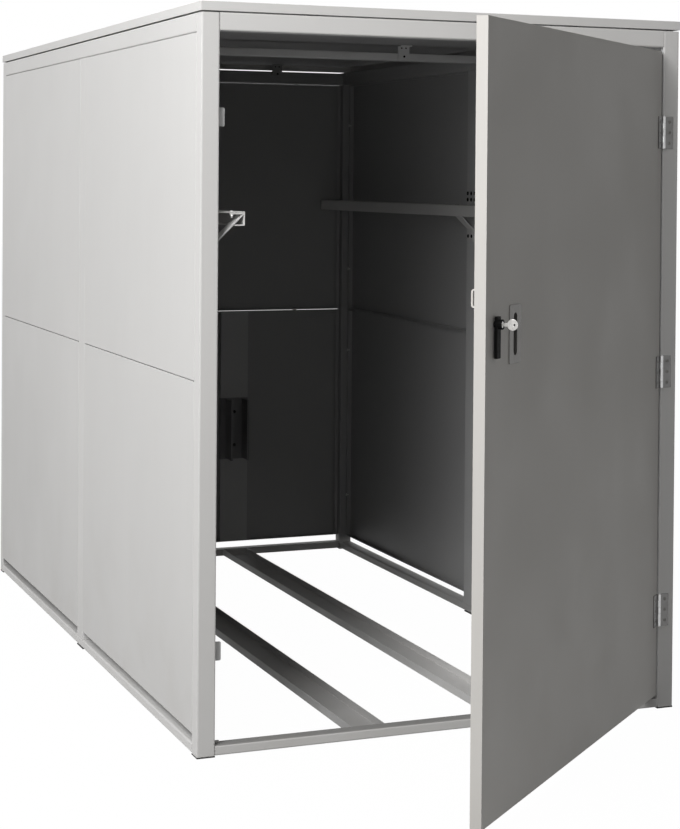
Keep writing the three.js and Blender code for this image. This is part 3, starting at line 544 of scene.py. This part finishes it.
def spin_profile(profile, sides=24, closed=False):
    """A round solid from (radius, height) pairs in mm, its axis along +Z."""
    mesh = bmesh.new()
    turns = [math.tau * i / sides for i in range(sides)]
    rings = []
    for radius, height in profile:
        around = turns if radius else [0]
        rings.append([
            mesh.verts.new((radius * MM * math.cos(a), radius * MM * math.sin(a), height * MM))
            for a in around
        ])
    following = rings[1:] + rings[:1] if closed else rings[1:]
    for low, high in zip(rings, following):
        for i in range(sides):
            j = (i + 1) % sides
            if len(low) == 1:
                mesh.faces.new((low[0], high[j], high[i]))
            elif len(high) == 1:
                mesh.faces.new((low[i], low[j], high[0]))
            else:
                mesh.faces.new((low[i], low[j], high[j], high[i]))
    bmesh.ops.recalc_face_normals(mesh, faces=mesh.faces)
    return mesh


def on_shank(outline, shank, length):
    """A head's outline with a shank below it: the shank's radius and length in mm."""
    return [(0, -length), (shank, -length), (shank, 0), *outline]


def hex_nut(across, height, bore):
    """A nut with six sides and a bore, sizes in mm."""
    outer = across / 2
    ring = [(bore, 0), (outer, 0), (outer, height), (bore, height)]
    return spin_profile(ring, sides=6, closed=True)


# %% [markdown]
# ## Screw heads
# A screw head is a low dome with a cross-shaped recess. The recess is pressed in by pushing the
# middle points of the dome down, deepest at the centre.

# %% Press the recess
DOME_STEPS = 5
ARM_WIDTH_SHARE = 0.34
ARM_REACH_SHARE = 0.62
RECESS_DEPTH_SHARE = 0.75
RECESS_BOWL_SHARE = 0.75
TOP_SHARE, PRESSED_SHARE = 0.2, 0.3


def cross_recess(mesh, radius, rise):
    """Presses a cross into a dome, sizes in metres."""
    top = [face for face in mesh.faces if face.calc_center_median().z > rise * TOP_SHARE]
    edges = list({edge for face in top for edge in face.edges})
    bmesh.ops.subdivide_edges(mesh, edges=edges, cuts=2, use_grid_fill=True)
    depth = rise * RECESS_DEPTH_SHARE
    for vertex in mesh.verts:
        x, y, z = vertex.co
        reach = math.hypot(x, y)
        in_width = min(abs(x), abs(y)) < radius * ARM_WIDTH_SHARE / 2
        if in_width and reach < radius * ARM_REACH_SHARE and z > rise * PRESSED_SHARE:
            vertex.co.z = z - depth * (1 - (reach / (radius * RECESS_BOWL_SHARE)) ** 2)


def pan_head(radius, rise, shank, length):
    """A screw head on its shank, sizes in mm."""
    angles = [math.pi / 2 * i / DOME_STEPS for i in range(DOME_STEPS)]
    dome = [(radius * math.cos(a), rise * math.sin(a)) for a in angles]
    head = spin_profile(on_shank([*dome, (0, rise)], shank, length))
    cross_recess(head, radius * MM, rise * MM)
    return head


# %% [markdown]
# ## Many heads in one piece
# One head mesh is copied to every place, turned to look along its way and given a random twist. The
# row becomes one piece, which rides on a body and has a material slot.

# %% Copy a head to its places
SMOOTH_ANGLE = math.radians(35)


def copies(name, head, places, body, finish, seed=3):
    """One piece made of a head mesh repeated at (place, way) pairs, riding on a body."""
    dice = random.Random(seed)
    joined = bmesh.new()
    for place, way in places:
        part = head.copy()
        aim = Vector((0, 0, 1)).rotation_difference(Vector(way).normalized()).to_matrix().to_4x4()
        twist = Matrix.Rotation(dice.uniform(0, math.tau), 4, "Z")
        part.transform(Matrix.Translation(Vector(place)) @ aim @ twist)
        data = bpy.data.meshes.new(name + "_part")
        part.to_mesh(data)
        joined.from_mesh(data)
        bpy.data.meshes.remove(data)
        part.free()
    data = bpy.data.meshes.new(name)
    joined.to_mesh(data)
    joined.free()
    data.materials.append(finish)
    for polygon in data.polygons:
        polygon.use_smooth = True
    data.set_sharp_from_angle(angle=SMOOTH_ANGLE)
    piece = bpy.data.objects.new(name, data)
    bpy.context.scene.collection.objects.link(piece)
    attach(piece, body)
    print(name, "holds", len(places), "pieces")
    return piece


# %% [markdown]
# ## Hinge screws
# Each leaf is held by three screws with low heads. The leaves' boxes give the level and the hinge
# line gives the side, so the screws sit in the holes that the CAD already has.

# %% Place the hinge screws
SEAT_GAP, LEAF_SHEET = 0.3 * MM, 2.0 * MM
LEAF_WIDTH, SCREW_SHARE = 25.0 * MM, 0.66
OUTWARD = Vector((0, -1, 0))
hinge_head = pan_head(radius=3.6, rise=1.3, shank=1.8, length=7.0)
leaf_face = CABINET_LOW.y - SEAT_GAP - LEAF_SHEET
aside = LEAF_WIDTH * SCREW_SHARE
post_spots, door_spots = [], []
for hinge in ("lower", "middle", "upper"):
    low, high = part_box("hinge_%s_post_leaf" % hinge)
    middle, pitch = (low.z + high.z) / 2, (high.z - low.z) / 3
    for z in (middle - pitch, middle, middle + pitch):
        post_spots.append((Vector((HINGE.x + aside, leaf_face, z)), OUTWARD))
        door_spots.append((on_door(HINGE.x - aside, leaf_face, z), DOOR_TURN.to_3x3() @ OUTWARD))
copies("hinge_post_screws", hinge_head, post_spots, "cabinet", stainless)
copies("hinge_door_screws", hinge_head, door_spots, "door", stainless, seed=5)

# %% [markdown]
# ## Caps over spare holes
# The middle posts have two rows of spare holes above the guard rails, so a rail can go higher. Each
# hole has a low black cap.

# %% Close the spare holes
CAP_RISES = (14.5 * MM, 31 * MM)
CAP_PITCH = 22 * MM
cap_outline = [(5.4, 0), (5.2, 1.2), (3.8, 1.9), (0, 2.1)]
cap = spin_profile(on_shank(cap_outline, shank=3.4, length=2.6))
cap_spots = []
for side in SIDES:
    low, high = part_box("post_mid_" + side)
    wall, inward = inner_side(side, (low, high))
    middle = (low.y + high.y) / 2
    rail_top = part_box("guard_rail_" + side)[1].z
    for rise in CAP_RISES:
        for y in (middle - CAP_PITCH, middle, middle + CAP_PITCH):
            cap_spots.append((Vector((wall, y, rail_top + rise)), (inward, 0, 0)))
copies("spare_hole_caps", cap, cap_spots, "cabinet", black_coat, seed=10)

# %% [markdown]
# ## Bolts of the guard rails
# Black bolts fix the feet of the braces to the posts. Bright bolts go down through the guard rails
# and the braces into nuts, whose bolt ends stand out below.

# %% Bolt the rails and the braces
POST = 38 * MM
BRACE_REACH, BRACE_SHEET = 40.7 * MM, 3 * MM
RAIL_AND_BRACE = 5.8 * MM
FRONT_RISES = (7 * MM, 25 * MM)
MID_ASIDE, MID_RISE = 11 * MM, 14 * MM
frame_head = pan_head(radius=5.0, rise=2.4, shank=2.4, length=7.5)
bolt_end = spin_profile([(0, 0), (2.3, 0), (2.3, 7), (1.7, 7.8), (0, 7.8)], sides=16)
rail_nut = hex_nut(across=8, height=3.6, bore=2.4)


def foot_places(which, low, high):
    """The (Y, rise) pairs of the two bolts in a brace's foot."""
    if which == "front":
        post_edge = CABINET_LOW.y + POST
        return [((low.y + post_edge) / 2, rise) for rise in FRONT_RISES]
    middle = (low.y + high.y) / 2
    return [(middle - MID_ASIDE, MID_RISE), (middle + MID_ASIDE, MID_RISE)]


foot_spots, rail_spots, nut_spots = [], [], []
for side in SIDES:
    rail_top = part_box("guard_rail_" + side)[1].z
    for which in ("front", "mid"):
        low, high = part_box("rail_brace_%s_%s" % (which, side))
        wall, inward = (low.x, 1) if side == "left" else (high.x, -1)
        for y, rise in foot_places(which, low, high):
            foot_spots.append((Vector((wall + inward * BRACE_SHEET, y, low.z + rise)), (inward, 0, 0)))
        over = Vector((wall + inward * BRACE_REACH, (low.y + high.y) / 2, rail_top))
        rail_spots.append((over, (0, 0, 1)))
        nut_spots.append((over - Vector((0, 0, RAIL_AND_BRACE)), (0, 0, -1)))
copies("brace_foot_bolts", frame_head, foot_spots, "cabinet", black_coat)
copies("rail_bolts", frame_head, rail_spots, "cabinet", plated, seed=4)
copies("rail_nuts", rail_nut, nut_spots, "cabinet", plated, seed=6)
copies("rail_bolt_ends", bolt_end, nut_spots, "cabinet", plated, seed=7)

# %% [markdown]
# ## Screws of the wheel holders
# Two black screws hold each wheel holder's strip to the lower rear panel.

# %% Place the holder screws
HOLDER_LEVEL, HOLDER_PITCH = 392 * MM, 51 * MM
PANEL_DEPTH, STRIP_SHEET = 20 * MM, 3 * MM
strip_face = rear_post_low.y + PANEL_DEPTH - STRIP_SHEET
holder_spots = []
for side in SIDES:
    low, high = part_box("wheel_holder_" + side)
    for z in (HOLDER_LEVEL - HOLDER_PITCH, HOLDER_LEVEL + HOLDER_PITCH):
        holder_spots.append((Vector(((low.x + high.x) / 2, strip_face, z)), OUTWARD))
copies("holder_screws", frame_head, holder_spots, "cabinet", black_coat, seed=2)

# %% [markdown]
# ## Rivets in the lips
# Each side panel ends in a narrow lip that lies against the post, and blind rivets hold it there. A
# blind rivet has a flat flange, and in its middle the broken end of the mandrel shows as a small
# pip. The flange was painted over, so only the pip stays bare.

# %% Place the lip rivets
LIP_WIDTH, FOLD = 10 * MM, 18 * MM
RIVET_SHARES = (0.18, 0.82)
flange_outline = [(4.4, 0), (4.092, 0.7), (1.98, 1.0), (1.672, 0.5), (0, 0.5)]
flange = spin_profile(on_shank(flange_outline, shank=1.6, length=6))
pip = spin_profile([(0, 0.3), (1.3, 0.3), (1.3, 1.1), (0.7, 1.5), (0, 1.5)], sides=12)
rivet_spots = []
for side in SIDES:
    wall, way = (CABINET_LOW.x + FOLD, 1) if side == "left" else (CABINET_HIGH.x - FOLD, -1)
    for row in ("lower", "upper"):
        for part in ("front", "rear"):
            low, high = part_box("panel_%s_%s_%s" % (side, part, row))
            for y in (low.y + LIP_WIDTH / 2, high.y - LIP_WIDTH / 2):
                for share in RIVET_SHARES:
                    spot = Vector((wall, y, low.z + (high.z - low.z) * share))
                    rivet_spots.append((spot, (way, 0, 0)))
copies("lip_rivets", flange, rivet_spots, "cabinet", fitting_coat)
copies("rivet_pips", pip, rivet_spots, "cabinet", zinc)

# %% [markdown]
# ## Lug bolts
# The roof tray hangs on six lugs, welded to the header, the crossbar and the rear rail. Two small
# dark rivets near the top close each lug's fold, and one bolt below them goes into the rail.

# %% Place the lug bolts
LUG_SHEET = 3 * MM
LUG_OFFSET, REAR_LUG_OFFSET = 300 * MM, 289 * MM
CROSSBAR_DEPTH = 22 * MM
RIVET_ASIDE, RIVET_RISE = 6 * MM, 13 * MM
BOLT_ASIDE, BOLT_DROP = 1 * MM, 9 * MM
small_head = pan_head(radius=2.2, rise=1.0, shank=1.2, length=2.6)
bolt_outline = [(3.2, 0), (3.2, 1.6), (2.7, 2.0), (0, 2.0)]
bolt_head = spin_profile(on_shank(bolt_outline, shank=1.6, length=2.6), sides=6)
middle_x = (CABINET_LOW.x + CABINET_HIGH.x) / 2
crossbar_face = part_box("roof_crossbar")[0].y + CROSSBAR_DEPTH
frame_top = rear_post_high.z
# The face of each pair of lugs, the way that it looks, and how far each lug is from the middle
lug_pairs = [
    (CABINET_LOW.y + POST + LUG_SHEET, 1, LUG_OFFSET),
    (crossbar_face - LUG_SHEET, -1, LUG_OFFSET),
    (CABINET_HIGH.y - POST - LUG_SHEET, -1, REAR_LUG_OFFSET),
]
lugs = [(middle_x + offset, face, way) for face, way, out in lug_pairs for offset in (-out, out)]
lug_rivet_spots, lug_bolt_spots = [], []
for centre, face, way in lugs:
    for x in (centre - RIVET_ASIDE, centre + RIVET_ASIDE):
        lug_rivet_spots.append((Vector((x, face, frame_top + RIVET_RISE)), (0, way, 0)))
    lug_bolt_spots.append((Vector((centre + BOLT_ASIDE, face, frame_top - BOLT_DROP)), (0, way, 0)))
copies("lug_rivets", small_head, lug_rivet_spots, "cabinet", black_coat)
copies("lug_bolts", bolt_head, lug_bolt_spots, "cabinet", black_coat, seed=8)

# %% [markdown]
# ## Screws of the top rails
# Each top rail ends in two small plated screws.

# %% Place the rail end screws
END_INSET = 29 * MM
END_DROPS = (7 * MM, 23 * MM)
end_spots = []
for side in SIDES:
    low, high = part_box("top_rail_" + side)
    face, inward = inner_side(side, (low, high))
    for y in (low.y + END_INSET, high.y - END_INSET):
        for drop in END_DROPS:
            end_spots.append((Vector((face, y, high.z - drop)), (inward, 0, 0)))
copies("rail_end_screws", small_head, end_spots, "cabinet", zinc, seed=9)

# %% [markdown]
# ## Weld beads
# The gutters and the lugs are welded to the frame before painting. A hand-laid bead is a row of
# overlapping drops, each a little off the line. So a bead here is a chain of small balls, nudged
# by seeded dice, and the paint covers it.

# %% A bead of drops
BEAD = 1.5 * MM
DROP_STEP = BEAD * 1.05
NUDGE = BEAD * 0.14
weld_drop = bmesh.new()
bmesh.ops.create_icosphere(weld_drop, subdivisions=2, radius=BEAD)


def bead_run(start, end, dice):
    """Drops from start to end, about one radius apart, each nudged a little."""
    start, end = Vector(start), Vector(end)
    count = max(2, int((end - start).length / DROP_STEP))
    return [start.lerp(end, i / count) + Vector([dice.uniform(-NUDGE, NUDGE) for _ in range(3)])
            for i in range(count + 1)]


def beads(name, runs, body, finish, seed):
    dice = random.Random(seed)
    spots = [(spot, (0, 0, 1)) for start, end in runs for spot in bead_run(start, end, dice)]
    return copies(name, weld_drop, spots, body, finish, seed)


# %% [markdown]
# Each end of a gutter has a bead up both of its sides and two short ones on its floor. Each lug has
# one down both of its edges.

# %% Lay the weld beads
GUTTER_SHEET = 2 * MM
FLOOR_INSET, FLOOR_RUN = 4 * MM, 16 * MM
LUG_HALF_WIDTH = 15.5 * MM
LUG_RUN = (16 * MM, 2 * MM)
EDGE_SHARE = 0.9
gutter_runs = []
for side in SIDES:
    low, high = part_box("wheel_gutter_" + side)
    floor_z = low.z + GUTTER_SHEET
    for y in (low.y, high.y):
        for x in (low.x, high.x):
            gutter_runs.append(((x, y, floor_z), (x, y, high.z - GUTTER_SHEET)))
        for x in (low.x + FLOOR_INSET, high.x - FLOOR_INSET - FLOOR_RUN):
            gutter_runs.append(((x, y, floor_z), (x + FLOOR_RUN, y, floor_z)))
beads("gutter_welds", gutter_runs, "cabinet", fitting_coat, 11)

lug_runs = []
for centre, face, way in lugs:
    for x in (centre - LUG_HALF_WIDTH, centre + LUG_HALF_WIDTH):
        y = face - way * LUG_SHEET * EDGE_SHARE
        start, end = [(x, y, frame_top - drop) for drop in LUG_RUN]
        lug_runs.append((start, end))
beads("lug_welds", lug_runs, "cabinet", frame_coat, 12)

# %% [markdown]
# ## The latch nut
# The spindle's stud carries the cam, and a nut closes it. It is a six-sided ring with its bore on
# the lock's axis, just behind the cam.

# %% Add the latch nut
NUT_REACH = 29.8 * MM
lock_place = Vector(joints["lever_turn"]["pos_m"])
lock_way = Vector(joints["lever_turn"]["axis"])
latch_nut = hex_nut(across=13, height=3.4, bore=4.3)
nut_spots = [(lock_place + lock_way * NUT_REACH, lock_way)]
copies("latch_nut", latch_nut, nut_spots, "lever", zinc)

# %% [markdown]
# ## The floor
# The picture has a plain white ground. The floor looks white to the camera and to reflections, but
# it lights the locker only as a mid grey floor would, so the inside stays as dark as it is in a
# closed box. A small share of plain grey is left in it, which keeps the locker's shadow.

# %% Make the floor
FLOOR_GREY, FLOOR_ROUGHNESS = 0.30, 0.9
FLOOR_WHITE, WHITE_SHARE = 1.03, 0.96
FLOOR_SIZE, FLOOR_CELLS = 30, 8


def seen_directly(tree):
    """1 for rays from the camera, reflections and clear parts, 0 for rays that only carry light."""
    rays = add(tree, "ShaderNodeLightPath").outputs
    seen = math_node(tree, "MAXIMUM", rays["Is Camera Ray"], rays["Is Glossy Ray"])
    return math_node(tree, "MAXIMUM", seen, rays["Is Transmission Ray"])


def floor_material():
    material, tree, shader = new_material("studio_floor")
    shader.inputs["Base Color"].default_value = grey(FLOOR_GREY)
    shader.inputs["Roughness"].default_value = FLOOR_ROUGHNESS
    shader.inputs["Specular IOR Level"].default_value = 0.0
    white = add(tree, "ShaderNodeEmission", {"Color": grey(1.0), "Strength": FLOOR_WHITE})
    share = product(tree, seen_directly(tree), WHITE_SHARE)
    both = add(tree, "ShaderNodeMixShader", {0: share, 1: shader.outputs[0], 2: white.outputs[0]})
    feed(tree, tree.nodes["Material Output"].inputs["Surface"], both.outputs[0])
    return material


floor_data = bpy.data.meshes.new("studio_floor")
grid = bmesh.new()
bmesh.ops.create_grid(grid, x_segments=FLOOR_CELLS, y_segments=FLOOR_CELLS, size=FLOOR_SIZE)
grid.to_mesh(floor_data)
grid.free()
floor = bpy.data.objects.new("studio_floor", floor_data)
floor_data.materials.append(floor_material())
bpy.context.scene.collection.objects.link(floor)
print("floor:", floor.name)

# %% [markdown]
# ## The light
# The white surroundings look full white, but light the locker only a little. Four soft lights do the
# rest: a long one along the left wall, one high off the near corner, which shades the header and the
# door's edge from left to right, and two weak ones that fill the front and the gutters.

# %% Light the scene
AMBIENT = 0.185
# The place, the target, the size and the watts of each light
LIGHTS = {
    "side_light": ((-5.0, 2.6, 3.1), (0.0, 1.7, 1.4), (5.0, 2.0), 126.0),
    "corner_light": ((-1.95, -1.95, 3.0), (0.2, 0.2, 1.4), (1.6, 1.6), 111.0),
    "front_light": ((-2.7, -3.3, 1.7), (0.8, 0.6, 0.9), (1.0, 1.2), 17.0),
    "low_light": ((-1.75, -4.2, 1.0), (0.7, 0.8, 0.7), (1.0, 1.0), 9.0),
}
world = bpy.data.worlds.new("studio")
bpy.context.scene.world = world
world.use_nodes = True
tree = world.node_tree
background = tree.nodes["Background"]
background.inputs["Color"].default_value = grey(1.0)
feed(tree, background.inputs["Strength"], ramp(tree, seen_directly(tree), 0.0, 1.0, AMBIENT, 1.0))


def soft_light(name, place, target, size, watts):
    data = bpy.data.lights.new(name, "AREA")
    data.shape = "RECTANGLE"
    data.size, data.size_y = size
    data.energy = watts
    light = bpy.data.objects.new(name, data)
    aim = (Vector(target) - Vector(place)).to_track_quat("-Z", "Y").to_matrix().to_4x4()
    light.matrix_world = Matrix.Translation(Vector(place)) @ aim
    bpy.context.scene.collection.objects.link(light)


for name, settings in LIGHTS.items():
    soft_light(name, *settings)
print("lights:", *LIGHTS, "ambient", AMBIENT)

# %% Finish
bpy.context.view_layer.update()


bpy.context.scene.view_settings.view_transform = "Standard"
